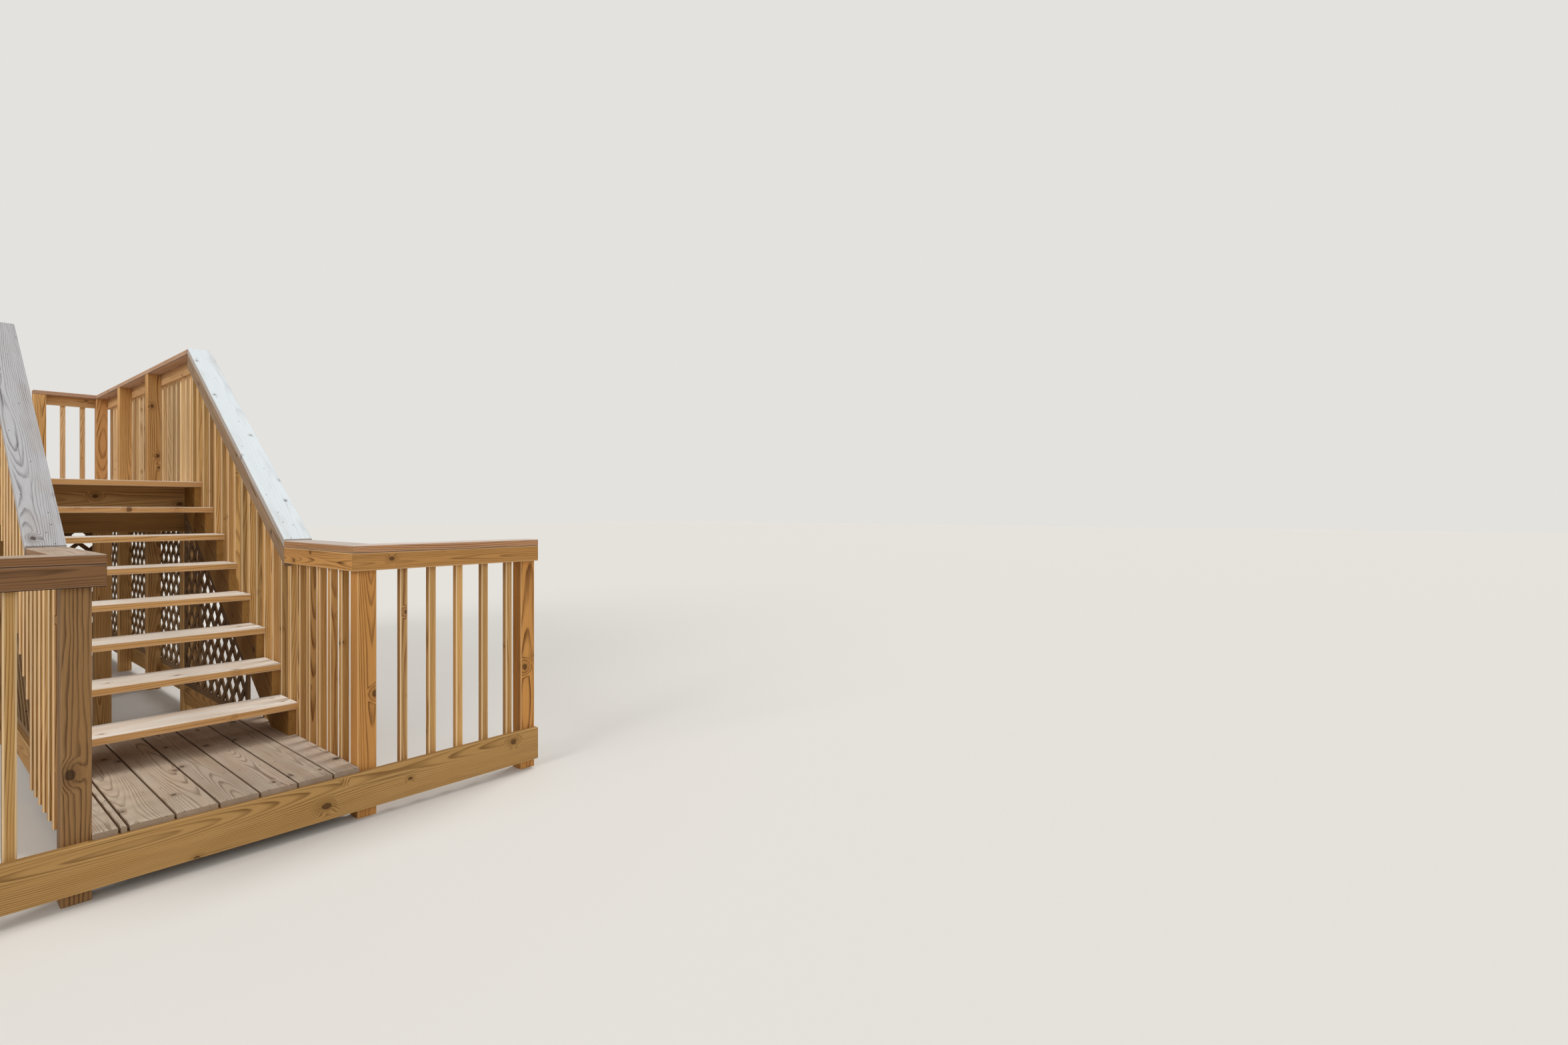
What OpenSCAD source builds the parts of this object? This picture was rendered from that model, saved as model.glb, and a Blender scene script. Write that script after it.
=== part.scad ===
// Wooden deck stairs: an open-riser flight from a low deck bay up to a guarded landing walk.
// Units are millimetres. X runs along the treads, Y up the flight, Z up from the ground.

/* [Flight] */
// Height of one step
riser_h = 184; // [165:1:195]
// Going of one step, from nosing to nosing
run_d = 273; // [250:1:300]
// Length of a tread, which is also the width over the two stringers
tread_len = 965; // [850:5:1200]
// Depth of a tread from front to back
tread_d = 286; // [260:1:300]
// Thickness of a tread and of the landing boards
tread_t = 38; // [32:1:45]
// How far a tread stands out past the notch below it
nosing = 25; // [15:1:35]
// Depth of the board that a stringer is cut from
stringer_w = 286; // [270:1:320]

/* [Lumber] */
// Thickness of joists, rims, stringers and rails
plank_t = 38; // [32:1:45]
// Side of a square post
post_w = 89; // [80:1:100]
// Side of a square baluster
baluster_w = 38; // [30:1:45]
// Width of a deck or landing board
board_w = 140; // [120:1:145]
// Width of a handrail cap
cap_w = 140; // [130:1:160]
// Thickness of a handrail cap
cap_t = 38; // [30:1:45]
// Width of the chamfer that eases long edges
arris = 3; // [1:0.5:4]

/* [Lower deck bay] */
// Height of the lower deck's surface over the ground
deck_top = 260; // [240:5:400]
// Length of the bay from the deck edge to its back
deck_len = 1550; // [1500:10:1800]
// Distance from the deck edge to the first tread's nosing
first_nosing_y = 810; // [750:5:900]
// Thickness of the lower deck's boards
deck_board_t = 25; // [22:1:38]
// Gap between the lower deck's boards
deck_gap = 9; // [3:1:10]
// Width of the ripped filler strip beside the first board
filler_w = 18; // [12:1:30]
// Distance from the bay's left edge to the filler strip
filler_x = 83; // [60:1:120]
// Depth of the lower deck's rims and joists
rim_h = 184; // [140:1:200]
// Number of joists between the deck edge and the bay's back rim
deck_joists_n = 3; // [2:1:4]

/* [Landing] */
// Length of the landing walk
landing_len = 3850; // [3000:50:5000]
// Gap between landing boards
landing_gap = 6; // [3:1:10]
// Depth of the rims and joists of the landing
landing_rim_h = 184; // [140:1:200]
// Depth of the beams under the landing's joists
beam_h = 140; // [89:1:184]
// Clear opening between the back guard's post and the left rail
back_open = 520; // [450:10:600]
// Clearance of a board notched round a post
notch_gap = 3; // [1:0.5:6]

/* [Guards] */
// Height of the lower guards over the deck
guard_h = 1094; // [1050:1:1120]
// Height of the landing's guards over the landing
landing_guard_h = 990; // [950:1:1100]
// Height of the sloped handrail over the nosings
slope_guard_h = 846; // [820:1:880]
// Height of a sub-rail
rail_h = 89; // [80:1:140]
// Widest opening between balusters
baluster_gap = 110; // [90:1:115]
// Opening between the post of a level guard and its first baluster
first_gap = 115; // [90:1:120]
// How far balusters lap down over a rim
baluster_lap = 125; // [100:1:150]
// Clear length of one level guard beside the stair
bay_len = 802; // [600:1:1200]

/* [Lattice skirt] */
// Width of a lattice slat
slat_w = 38; // [30:1:45]
// Thickness of a lattice slat
slat_t = 8; // [6:1:12]
// Clear opening between slats
slat_gap = 76; // [60:1:90]
// Height of the skirt's bottom board
skirt_h = 140; // [89:1:145]
// Height of the bottom board's underside over the ground
skirt_z = 80; // [40:1:90]
// Saw-cut gap between two boards that share a node
joint_gap = 1.5; // [1:0.5:3]

/* [Hidden] */

// Colours of the timber
fresh_pine = [0.72, 0.50, 0.29];
warm_pine = [0.63, 0.40, 0.21];
grey_pine = [0.72, 0.70, 0.67];
deck_pine = [0.60, 0.50, 0.40];
dark_pine = [0.36, 0.25, 0.16];

// The flight
tread_n = 7;
slope = riser_h / run_d;
pitch = atan(slope);
half_w = tread_len / 2;
inner_x = half_w - plank_t;
landing_y = first_nosing_y + tread_n * run_d;
landing_top = deck_top + (tread_n + 1) * riser_h;
header_y = landing_y + nosing + run_d;
stringer_y = first_nosing_y + nosing;

// The lower deck bay
joist_top = deck_top - deck_board_t;
joist_low = joist_top - rim_h;
baluster_low = joist_top - baluster_lap;

// The landing, whose rims stand outside its posts
rim_x = inner_x + post_w;
landing_x = rim_x + plank_t;
landing_end = landing_y + landing_len;
landing_joist_top = landing_top - tread_t;
landing_rim_low = landing_joist_top - landing_rim_h;
landing_baluster_low = landing_joist_top - baluster_lap;
bays_n = 3;
first_post_y = header_y + plank_t;
last_post_y = landing_end - plank_t - post_w;
bay_pitch = (last_post_y - first_post_y) / bays_n;
back_x = back_open - rim_x;

// The guards
cap_low = deck_top + guard_h - cap_t;
landing_cap_low = landing_top + landing_guard_h - cap_t;
break_y = first_nosing_y + (guard_h - slope_guard_h - riser_h) / slope;
top_y = first_nosing_y + (landing_top + landing_guard_h - deck_top - slope_guard_h - riser_h) / slope;
cap_x = inner_x + cap_w;
cap_out = cap_w - plank_t;
end_post_x = half_w + post_w + bay_len;
guard_end_x = end_post_x + post_w;

// The skirt
skirt_top = skirt_z + skirt_h;
lattice_t = 2 * slat_t;
slat_pitch = slat_w + slat_gap;
slant = 45;

// The part's origin lies on the ground in the middle of its plan
front_y = -plank_t;
cap_back_y = landing_end + cap_w - plank_t - post_w;
back_y = max(cap_back_y, landing_end + baluster_w);
origin_y = (front_y + back_y) / 2;
tall = 2 * (landing_top + landing_guard_h);

// Height of tread k's top, counted from the bottom
function tread_z(k) = deck_top + k * riser_h;
// Place of tread k's nosing
function tread_y(k) = first_nosing_y + (k - 1) * run_d;
// Lower edge of a stringer above the place y
function stringer_low(y) =
    deck_top + riser_h - tread_t + (y - stringer_y) * slope - stringer_w / cos(pitch);
// Place where a stringer's lower edge meets the height z
function stringer_low_y(z) =
    stringer_y + (z + stringer_w / cos(pitch) - deck_top - riser_h + tread_t) / slope;
// Starts of balusters spaced evenly from a post at one place to the end of the last at another
function run_at(from, to) =
    let (n = ceil((to - from) / (baluster_w + baluster_gap)), step = (to - from) / n)
    [for (i = [1 : n]) from + i * step - baluster_w];
// Starts of as many balusters as fit between two posts, laid out from the first post
function bay_at(from, to) =
    let (step = baluster_w + baluster_gap, n = floor((to - from - first_gap + baluster_gap) / step))
    [for (i = [0 : n - 1]) from + first_gap + i * step];
// Bottom of a baluster beside the flight at the place y
function baluster_z(y) = y + baluster_w < deck_len ? baluster_low : stringer_low(y + baluster_w);

// Direction of the edge that leaves corner i of an outline
function along(outline, i) =
    let (step = outline[(i + 1) % len(outline)] - outline[i]) step / norm(step);
// Inward normal of that edge on an outline drawn anticlockwise
function inward(outline, i) = let (a = along(outline, i)) [-a[1], a[0]];
// The outline moved inwards by w
function inset(outline, w) =
    let (n = len(outline))
    [
        for (i = [0 : n - 1])
            let (a = inward(outline, (i + n - 1) % n), b = inward(outline, i))
            outline[i] + w * (a + b) / (1 + a * b)
    ];

// Outline under the underside of the side guards' handrails
under_rail = [
    [0, 0], [landing_end, 0], [landing_end, landing_cap_low], [top_y, landing_cap_low],
    [break_y, cap_low], [0, cap_low]
];

// Section of a board with eased edges
module eased(w, h) {
    polygon([
        [arris, 0], [w - arris, 0], [w, arris], [w, h - arris],
        [w - arris, h], [arris, h], [0, h - arris], [0, arris]
    ]);
}

// Board along X, with its lowest corner at [x0, y0, z0]
module board_x(x0, x1, y0, z0, d, h) {
    translate([x0, y0, z0]) rotate([90, 0, 90]) linear_extrude(x1 - x0) eased(d, h);
}

// Board along Y
module board_y(y0, y1, x0, z0, w, h) {
    translate([x0, y1, z0]) rotate([90, 0, 0]) linear_extrude(y1 - y0) eased(w, h);
}

// Upright post or baluster
module upright(x0, y0, z0, z1, w) {
    translate([x0, y0, z0]) linear_extrude(z1 - z0) eased(w, w);
}

// Prism over an outline in the YZ plane, from x0 to x1
module side_prism(x0, x1, outline) {
    translate([x0, 0, 0]) rotate([90, 0, 90]) linear_extrude(x1 - x0) polygon(outline);
}

// Prism over an outline in plan
module plan_prism(z0, h, outline) {
    translate([0, 0, z0]) linear_extrude(h) polygon(outline);
}

// The piece and its mirror image across the middle of the flight
module pair() {
    children();
    mirror([1, 0, 0]) children();
}

// The piece on the left side only
module left_side() {
    mirror([1, 0, 0]) children();
}

// Rim joist under the main deck's edge, which carries the level guards
module front_rim() {
    color(warm_pine)
        board_x(-guard_end_x, guard_end_x, -plank_t, joist_low, plank_t, rim_h);
}

// Rims along the two sides of the lower bay
module deck_side_rims() {
    color(warm_pine)
        pair() board_y(0, deck_len, inner_x, joist_low, plank_t, rim_h);
}

// Joists between the side rims, the last one closing the bay's back
module deck_joists() {
    step = (deck_len - plank_t) / (deck_joists_n + 1);
    color(warm_pine)
        for (i = [1 : deck_joists_n + 1])
            board_x(-inner_x, inner_x, i * step, joist_low, plank_t, rim_h);
}

// Boards of the lower bay, the outer ones ripped to its sides
module deck_boards() {
    y0 = -plank_t / 2;
    first_x = -half_w + filler_x + filler_w + deck_gap;
    step = board_w + deck_gap;
    n = ceil((half_w - first_x) / step);
    color(deck_pine) {
        board_y(y0, deck_len, -half_w, joist_top, filler_x - deck_gap, deck_board_t);
        board_y(y0, deck_len, -half_w + filler_x, joist_top, filler_w, deck_board_t);
        for (i = [0 : n - 1])
            board_y(y0, deck_len, first_x + i * step, joist_top,
                min(board_w, half_w - first_x - i * step), deck_board_t);
    }
}

// Short posts in the bay's back corners
module deck_posts() {
    color(warm_pine)
        pair() upright(inner_x - post_w, deck_len - plank_t - post_w, 0, joist_top, post_w);
}

// Cut stringer: a board notched for the treads and for the landing's first boards
module stringer() {
    steps = [
        for (k = [1 : tread_n + 1], corner = [0, 1])
            [stringer_y + (k - 1 + corner) * run_d, tread_z(k) - tread_t]
    ];
    side_prism(inner_x, half_w, concat(
        [[stringer_y, deck_top]],
        steps,
        [[header_y, stringer_low(header_y)], [stringer_low_y(deck_top), deck_top]]
    ));
}

module stringer_left() {
    color(warm_pine) left_side() stringer();
}

module stringer_right() {
    color(warm_pine) stringer();
}

// Tread k, counted from the bottom
module tread(k) {
    color(fresh_pine)
        board_x(-half_w, half_w, tread_y(k), tread_z(k) - tread_t, tread_d, tread_t);
}

// Header that the stringers hang on, and the rim at the landing's back
module landing_end_rims() {
    color(warm_pine)
        for (y = [header_y, landing_end - plank_t])
            board_x(-landing_x, landing_x, y, landing_rim_low, plank_t, landing_rim_h);
}

// Deep rims along the landing's sides
module landing_side_rims() {
    color(warm_pine)
        pair() board_y(first_post_y, landing_end - plank_t, rim_x, landing_rim_low,
            plank_t, landing_rim_h);
}

// Joists under the middle of the landing's boards
module landing_joists() {
    color(warm_pine)
        pair() board_y(first_post_y, landing_end - plank_t, rim_x / 3 - plank_t / 2,
            landing_rim_low, plank_t, landing_rim_h);
}

// Beams on the front faces of the landing's posts, under its joists
module landing_beams() {
    color(dark_pine)
        for (i = [0 : bays_n])
            board_x(-rim_x, rim_x, landing_post_y(i) - plank_t, landing_rim_low - beam_h,
                plank_t, beam_h);
}

// Place of post i on a side of the landing, counted from the header
function landing_post_y(i) = first_post_y + i * bay_pitch;

// Boards on the stringers' last step, as long as the treads, with the first one as the nosing
module step_boards() {
    span = header_y - landing_y;
    n = floor(span / board_w);
    for (i = [0 : n - 1])
        board_x(-half_w, half_w, landing_y + i * span / n, landing_joist_top, board_w, tread_t);
}

// Boards across the landing, notched round the guard posts
module landing_boards() {
    n = round((landing_end - header_y + landing_gap) / (board_w + landing_gap));
    step = (landing_end - header_y - board_w) / (n - 1);
    hole = post_w + 2 * notch_gap;
    color(fresh_pine) {
        step_boards();
        difference() {
            for (i = [0 : n - 1])
                board_x(-landing_x, landing_x, header_y + i * step, landing_joist_top,
                    board_w, tread_t);
            pair()
                for (i = [1 : bays_n])
                    translate([inner_x - notch_gap, landing_post_y(i) - notch_gap, 0])
                        cube([hole, hole, tall]);
            translate([back_x - notch_gap, last_post_y - notch_gap, 0]) cube([hole, hole, tall]);
        }
    }
}

// Posts inside the landing's rims. The first row stops under the boards, the rest carry guards.
module landing_posts() {
    color(warm_pine) {
        upright(-post_w / 2, first_post_y, 0, landing_joist_top, post_w);
        pair() {
            upright(inner_x, first_post_y, 0, landing_joist_top, post_w);
            for (i = [1 : bays_n])
                upright(inner_x, landing_post_y(i), 0, landing_cap_low, post_w);
        }
        upright(back_x, last_post_y, 0, landing_cap_low, post_w);
    }
}

// Posts at the stair's corners and at the far ends of the level guards
module front_posts() {
    color(warm_pine)
        pair()
            for (x = [half_w, end_post_x])
                upright(x, 0, 0, cap_low, post_w);
}

// Balusters of one level guard
module balusters_front() {
    color(warm_pine)
        for (x = bay_at(half_w + post_w, end_post_x))
            upright(x, 0, baluster_low, cap_low, baluster_w);
}

// Balusters beside the flight whose middles lie between two places, cut to the handrail's underside
module flight_balusters(from, to) {
    color(warm_pine)
        intersection() {
            for (y = run_at(post_w, header_y))
                if (y + baluster_w / 2 >= from && y + baluster_w / 2 < to)
                    upright(half_w, y, baluster_z(y), tall, baluster_w);
            side_prism(half_w - arris, half_w + baluster_w + arris, under_rail);
        }
}

// Balusters on the outside of the landing's rim
module landing_balusters() {
    color(warm_pine)
        intersection() {
            for (y = run_at(header_y, landing_end))
                upright(landing_x, y, landing_baluster_low, tall, baluster_w);
            side_prism(landing_x - arris, landing_x + baluster_w + arris, under_rail);
        }
}

// Balusters of the short guard at the landing's back
module balusters_landing_back() {
    color(warm_pine)
        for (x = bay_at(back_x + post_w, inner_x))
            upright(x, landing_end, landing_baluster_low, landing_cap_low, baluster_w);
}

// Level sub-rails on the inner side of the front balusters, mitred at the corner
module sub_rails_front() {
    color(warm_pine)
        pair()
            intersection() {
                board_x(inner_x, guard_end_x, -plank_t, cap_low - rail_h, plank_t, rail_h);
                plan_prism(0, tall, [
                    [inner_x, -plank_t], [guard_end_x, -plank_t], [guard_end_x, 0], [half_w, 0]
                ]);
            }
}

// Level sub-rails beside the lower bay
module sub_rails_return() {
    color(warm_pine)
        pair()
            intersection() {
                board_y(-plank_t, break_y, inner_x, cap_low - rail_h, plank_t, rail_h);
                plan_prism(0, tall, [
                    [inner_x, -plank_t], [half_w, 0], [half_w, break_y], [inner_x, break_y]
                ]);
            }
}

// Board along the slope with plumb ends. Its top edge is the line of the caps' underside plus rise.
module slope_board(x0, w, h, rise) {
    length = (top_y - break_y) / cos(pitch);
    reach = h + w;
    intersection() {
        translate([0, break_y, cap_low + rise]) rotate([pitch, 0, 0])
            board_y(-reach, length + reach, x0, -h, w, h);
        side_prism(x0 - arris, x0 + w + arris, [
            [break_y, 0], [top_y, 0], [top_y, tall], [break_y, tall]
        ]);
    }
}

module sub_rails_slope() {
    color(warm_pine) pair() slope_board(inner_x, plank_t, rail_h, 0);
}

// Sub-rails on the outside of the landing's posts, and the one behind its back guard
module sub_rails_landing() {
    color(warm_pine) {
        pair() board_y(top_y, landing_end, rim_x, landing_cap_low - rail_h, plank_t, rail_h);
        board_x(back_x, rim_x - joint_gap, landing_end - plank_t, landing_cap_low - rail_h,
            plank_t, rail_h);
    }
}

// Flat caps over the level guards, mitred at the corner
module caps_front() {
    color(grey_pine)
        pair()
            intersection() {
                board_x(inner_x, guard_end_x, -plank_t, cap_low, cap_w, cap_t);
                plan_prism(0, tall, [
                    [inner_x, -plank_t], [guard_end_x, -plank_t],
                    [guard_end_x, cap_out], [inner_x + cap_w, cap_out]
                ]);
            }
}

module caps_return() {
    color(grey_pine)
        pair()
            intersection() {
                board_y(-plank_t, break_y, inner_x, cap_low, cap_w, cap_t);
                plan_prism(0, tall, [
                    [inner_x, -plank_t], [inner_x + cap_w, cap_out],
                    [inner_x + cap_w, break_y], [inner_x, break_y]
                ]);
            }
}

// Sloped caps, whose underside starts at the level caps' underside
module caps_slope() {
    color(grey_pine) pair() slope_board(inner_x, cap_w, cap_t, cap_t / cos(pitch));
}

// Caps over the landing's side guards. The right one is mitred at the back corner.
module caps_landing() {
    corner_y = last_post_y;
    color(grey_pine) {
        intersection() {
            board_y(top_y, cap_back_y, inner_x, landing_cap_low, cap_w, cap_t);
            plan_prism(0, tall, [
                [inner_x, top_y], [cap_x, top_y], [cap_x, cap_back_y], [inner_x, corner_y]
            ]);
        }
        left_side() board_y(top_y, cap_back_y, inner_x, landing_cap_low, cap_w, cap_t);
    }
}

module cap_back() {
    corner_y = last_post_y;
    color(grey_pine)
        intersection() {
            board_x(back_x, cap_x, corner_y, landing_cap_low, cap_w, cap_t);
            plan_prism(0, tall, [
                [back_x, corner_y], [inner_x, corner_y], [cap_x, cap_back_y], [back_x, cap_back_y]
            ]);
        }
}

// Parallel slats at an angle, covering a square of side reach round the middle
module slats(angle, middle, reach) {
    n = ceil(reach / slat_pitch);
    translate(middle) rotate(angle)
        for (i = [-n : n])
            translate([i * slat_pitch - slat_w / 2, -reach]) square([slat_w, 2 * reach]);
}

// Lattice panel over an outline drawn anticlockwise: two layers of slats inside a flat border
module lattice(outline, middle, reach) {
    linear_extrude(lattice_t)
        difference() {
            polygon(outline);
            polygon(inset(outline, slat_w));
        }
    for (layer = [0, 1])
        translate([0, 0, layer * slat_t])
            linear_extrude(slat_t)
                intersection() {
                    slats(layer == 0 ? slant : -slant, middle, reach);
                    polygon(inset(outline, slat_w / 2));
                }
}

// Panel under the stringer
module lattice_stair() {
    outline = [
        [deck_len, skirt_top], [header_y, skirt_top], [header_y, stringer_low(header_y)],
        [deck_len, stringer_low(deck_len)]
    ];
    color(dark_pine)
        translate([inner_x, 0, 0]) rotate([90, 0, 90])
            lattice(outline, [(deck_len + header_y) / 2, (skirt_top + landing_rim_low) / 2],
                header_y - deck_len);
}

// Panel along one side of the landing
module lattice_side() {
    to = landing_end - plank_t;
    outline = [
        [header_y, skirt_top], [to, skirt_top], [to, landing_rim_low], [header_y, landing_rim_low]
    ];
    color(dark_pine)
        translate([rim_x, 0, 0]) rotate([90, 0, 90])
            lattice(outline, [(header_y + to) / 2, (skirt_top + landing_rim_low) / 2], to - header_y);
}

// Panel across the landing's back, on the back of the posts
module lattice_back() {
    outline = [
        [-rim_x, skirt_top], [rim_x, skirt_top], [rim_x, landing_rim_low], [-rim_x, landing_rim_low]
    ];
    color(dark_pine)
        translate([0, landing_end - plank_t + lattice_t, 0]) rotate([90, 0, 0])
            lattice(outline, [0, (skirt_top + landing_rim_low) / 2], landing_rim_low);
}

// Boards along the bottom of the lattice
module skirt_boards() {
    color(warm_pine) {
        pair() {
            board_y(deck_len, header_y - joint_gap, inner_x, skirt_z, plank_t, skirt_h);
            board_y(header_y, landing_end - plank_t - joint_gap, rim_x, skirt_z, plank_t, skirt_h);
        }
        board_x(-landing_x, landing_x, landing_end - plank_t, skirt_z, plank_t, skirt_h);
    }
}

// Moves the stair so that its origin is on the ground in the middle of its plan
module place() {
    translate([0, -origin_y, 0]) children();
}

place() front_rim();
place() deck_side_rims();
place() deck_joists();
place() deck_boards();
place() deck_posts();
place() stringer_left();
place() stringer_right();
place() tread(1);  // tread_1
place() tread(2);  // tread_2
place() tread(3);  // tread_3
place() tread(4);  // tread_4
place() tread(5);  // tread_5
place() tread(6);  // tread_6
place() tread(7);  // tread_7
place() landing_end_rims();
place() landing_side_rims();
place() landing_joists();
place() landing_beams();
place() landing_boards();
place() landing_posts();
place() front_posts();
place() left_side() balusters_front();  // balusters_front_left
place() balusters_front();  // balusters_front_right
place() left_side() flight_balusters(0, break_y);  // balusters_return_left
place() flight_balusters(0, break_y);  // balusters_return_right
place() left_side() flight_balusters(break_y, header_y);  // balusters_slope_left
place() flight_balusters(break_y, header_y);  // balusters_slope_right
place() left_side() landing_balusters();  // balusters_landing_left
place() landing_balusters();  // balusters_landing_right
place() balusters_landing_back();
place() sub_rails_front();
place() sub_rails_return();
place() sub_rails_slope();
place() sub_rails_landing();
place() caps_front();
place() caps_return();
place() caps_slope();
place() caps_landing();
place() cap_back();
place() left_side() lattice_stair();  // lattice_stair_left
place() lattice_stair();  // lattice_stair_right
place() left_side() lattice_side();  // lattice_left
place() lattice_side();  // lattice_right
place() lattice_back();
place() skirt_boards();
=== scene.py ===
"""Looks of the wooden deck stairs: pressure-treated pine boards, dressed one by one.

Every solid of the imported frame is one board. Each gets its own grain, knots and weather, from
coordinates that run along that board, and steel nail heads where its neighbours carry it.
"""

import logging
import math
import random
from dataclasses import dataclass
from enum import Enum

import bmesh
import bpy
from mathutils import Matrix, Vector


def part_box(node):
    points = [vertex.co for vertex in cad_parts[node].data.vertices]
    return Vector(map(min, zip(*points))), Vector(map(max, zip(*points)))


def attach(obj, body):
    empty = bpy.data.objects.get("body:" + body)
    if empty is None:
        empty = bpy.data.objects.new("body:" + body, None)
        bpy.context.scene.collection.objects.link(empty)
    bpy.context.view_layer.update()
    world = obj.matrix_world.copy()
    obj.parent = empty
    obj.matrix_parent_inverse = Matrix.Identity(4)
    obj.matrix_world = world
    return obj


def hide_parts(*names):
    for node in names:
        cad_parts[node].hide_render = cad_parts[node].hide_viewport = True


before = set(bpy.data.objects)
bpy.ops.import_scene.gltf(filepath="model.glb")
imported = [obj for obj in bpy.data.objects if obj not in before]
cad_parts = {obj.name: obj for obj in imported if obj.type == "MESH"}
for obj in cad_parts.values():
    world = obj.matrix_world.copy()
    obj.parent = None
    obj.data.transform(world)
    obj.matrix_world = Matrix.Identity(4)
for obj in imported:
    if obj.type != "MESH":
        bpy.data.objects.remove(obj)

LOG = logging.getLogger("deck_stairs")
MM = 0.001
BODY = "root"
PHOTO_WIDTH_PX = 2352
WELD_M = 0.01 * MM
FLAT_DEG = 0.5
# So far off that a knot there doesn't show.
NOWHERE_M = 9.0
UP = Vector((0, 0, 1))

Socket = bpy.types.NodeSocket
Span = tuple[float, float]
Triple = tuple[float, float, float]
Colour = tuple[float, float, float, float]
Mark = tuple[Socket, str]

WHOLE: Span = (0.0, 1.0)
FALLING: Span = (1.0, 0.0)


class Grain(Enum):
    """The way that a board's length, and so its grain, runs."""

    LONGEST = "the board's longest side"
    SLOPED = "up the flight's slope"
    SLANTED = "along the slats of a lattice, which lean one way in each layer"


def linear(hex_colour: str) -> Colour:
    """Turns an sRGB colour into the linear one that a shader takes.

    Args:
        hex_colour: The colour as "#RRGGBB".

    Returns:
        Red, green, blue and alpha from 0 to 1.
    """
    parts = [int(hex_colour[i:i + 2], 16) / 255 for i in (1, 3, 5)]
    made = [c / 12.92 if c <= 0.04045 else ((c + 0.055) / 1.055) ** 2.4 for c in parts]
    return made[0], made[1], made[2], 1.0


def put(name: str, data: bpy.types.ID) -> bpy.types.Object:
    """Puts an object into the scene.

    Args:
        name: The object's name.
        data: Its mesh, lamp or camera.

    Returns:
        The object.
    """
    placed = bpy.data.objects.new(name, data)
    bpy.context.scene.collection.objects.link(placed)
    return placed


@dataclass
class Nodes:
    """The emptied node tree of a material or a world, and the one way to add to it."""

    owner: bpy.types.Material | bpy.types.World

    def __post_init__(self) -> None:
        """Empties the tree."""
        self.owner.use_nodes = True
        self.owner.node_tree.nodes.clear()

    def add(
        self,
        kind: str,
        inputs: dict[int | str, object] | None = None,
        out: int | str = 0,
        **settings: object,
    ) -> Socket | None:
        """Adds a shader node with its settings, values and links.

        Args:
            kind: The node's type, without its "ShaderNode" start.
            inputs: For each input, the socket that feeds it or its value.
            out: The output to hand back.
            settings: The node's own properties.

        Returns:
            The chosen output socket, or nothing for a node without one.
        """
        tree = self.owner.node_tree
        node = tree.nodes.new("ShaderNode" + kind)
        for name, value in settings.items():
            setattr(node, name, value)
        for name, value in (inputs or {}).items():
            if isinstance(value, Socket):
                tree.links.new(value, node.inputs[name])
            else:
                node.inputs[name].default_value = value
        return node.outputs[out] if node.outputs else None

    def scalar(self, operation: str, *values: Socket | float, use_clamp: bool = False) -> Socket:
        """Adds one step of arithmetic with numbers."""
        inputs = dict(enumerate(values))
        return self.add("Math", inputs, operation=operation, use_clamp=use_clamp)

    def vector(
        self, operation: str, *values: Socket | Triple | Vector, out: int | str = 0
    ) -> Socket:
        """Adds one step of arithmetic with places and sizes."""
        return self.add("VectorMath", dict(enumerate(values)), out, operation=operation)

    def mix(self, share: Socket, first: Socket | Colour, second: Socket | Colour) -> Socket:
        """Mixes two colours, of which the second has the share."""
        inputs = {"Factor": share, "A": first, "B": second}
        return self.add("Mix", inputs, out="Result", data_type="RGBA")


@dataclass(frozen=True)
class Head:
    """A nail's head: where it is and the way it faces."""

    place: Vector
    facing: Vector


@dataclass(frozen=True)
class Wear:
    """What the weather did to a board, and the painted light and shade that some boards carry.

    Sun and rain take the colour out of the faces that look up first. Boards that stay in shade
    keep their colour, and are darkened with painted shade and dirt.
    """

    top: float
    side: float
    # How far the board is darkened: painted shade where it stands in shade, and dirt.
    dirt: float = 0.0


@dataclass(frozen=True)
class Knot:
    """A large knot at a place of its own on one board's face, in metres."""

    x: float
    y: float
    z: float
    radius: float


@dataclass(frozen=True)
class PineFinish:
    """Pressure-treated southern yellow pine, sawn or planed, and weathered for a few years.

    Wide rings with hard dark latewood give bold stripes on a post and arches on a flat board.
    """

    name: str
    # Sound early and late wood, a knot, and early and late wood that has gone grey.
    early: str
    late: str
    knot: str
    grey: str
    grey_late: str
    # A ring's width, where in it the dark latewood starts, and how dark that is.
    ring_mm: float = 6.5
    band: float = 0.4
    contrast: float = 0.8
    # How much lighter or darker than the others a board may be.
    spread: float = 0.15
    # The pith: its distance, its shift aside, how fast and how far it wanders, and the wavy rings.
    pith_mm: float = 60.0
    aside_mm: float = 0.0
    drift: float = 0.5
    wander: float = 1.0
    waver_mm: float = 14.0
    # Small knots: their cells, the share of cells with one, their radii, and how far they shrink
    # through the board.
    knot_step_mm: float = 260.0
    knot_across_mm: float = 90.0
    knot_share: float = 0.25
    knot_small_mm: float = 6.0
    knot_large_mm: float = 13.0
    knot_depth: float = 0.0
    # How much drying checks, rubbed edges with their painted highlight, and the painted shade
    # under a lower edge show.
    check: float = 0.5
    rub_and_highlight: float = 0.35
    seam: float = 0.0
    roughness: float = 0.62
    relief_mm: float = 0.5

    def build(self) -> bpy.types.Material:
        """Builds the finish.

        Returns:
            Its material.
        """
        material = bpy.data.materials.new(self.name)
        PineShader(material, self).paint()
        return material


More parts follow.
